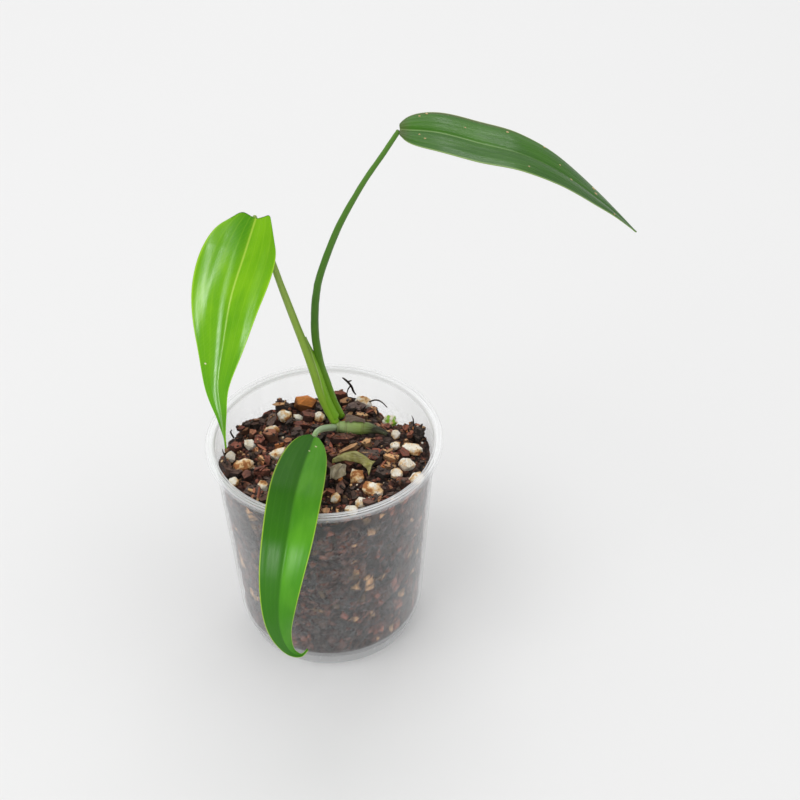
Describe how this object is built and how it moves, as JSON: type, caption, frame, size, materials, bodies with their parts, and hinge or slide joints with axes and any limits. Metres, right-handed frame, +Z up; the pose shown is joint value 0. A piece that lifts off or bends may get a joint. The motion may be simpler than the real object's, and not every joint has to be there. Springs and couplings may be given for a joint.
{
  "type": "potted plant",
  "caption": "Young climbing plant with narrow drooping leaves on thin petioles, in a clear tapered nursery pot filled with bark and perlite mix.",
  "frame": {"origin": "centre of the pot's foot, on the level it rests on", "axes": "+Z up, +X toward the dark drooping leaf, -Y toward the leaf that hangs over the rim"},
  "size_m": [0.1788, 0.119, 0.2333],
  "materials": {
    "clear_plastic": "clear polypropylene with a slight milky haze, moulded, glossy",
    "bark_mix": "rough dark bark, cream perlite and wood slivers, dull",
    "stem_skin": "grey-green skin with faint rings, satin",
    "petiole_left_skin": "light olive green, satin",
    "petiole_right_skin": "dark green, paler at the sheath, satin",
    "petiole_front_skin": "grey-green, satin",
    "leaf_left_skin": "bright yellow-green waxy blade, glossy",
    "leaf_right_skin": "dark green blade with a purple-brown upper margin, half gloss",
    "leaf_front_skin": "mid green waxy blade with a paler margin, glossy",
    "papery_brown": "papery brown scale, dull",
    "papery_green": "dried yellow-green sheath, dull",
    "papery_grey": "grey dried leaf scrap, dull"
  },
  "bodies": {
    "root": {"pot": "clear_plastic", "potting_mix": "bark_mix", "stem": "stem_skin", "petiole_left": "petiole_left_skin", "petiole_right": "petiole_right_skin", "petiole_front": "petiole_front_skin", "leaf_left": "leaf_left_skin", "leaf_right": "leaf_right_skin", "leaf_front": "leaf_front_skin", "dry_scale": "papery_brown", "dry_sheath": "papery_green", "dry_scrap": "papery_grey"}
  },
  "joints": []
}
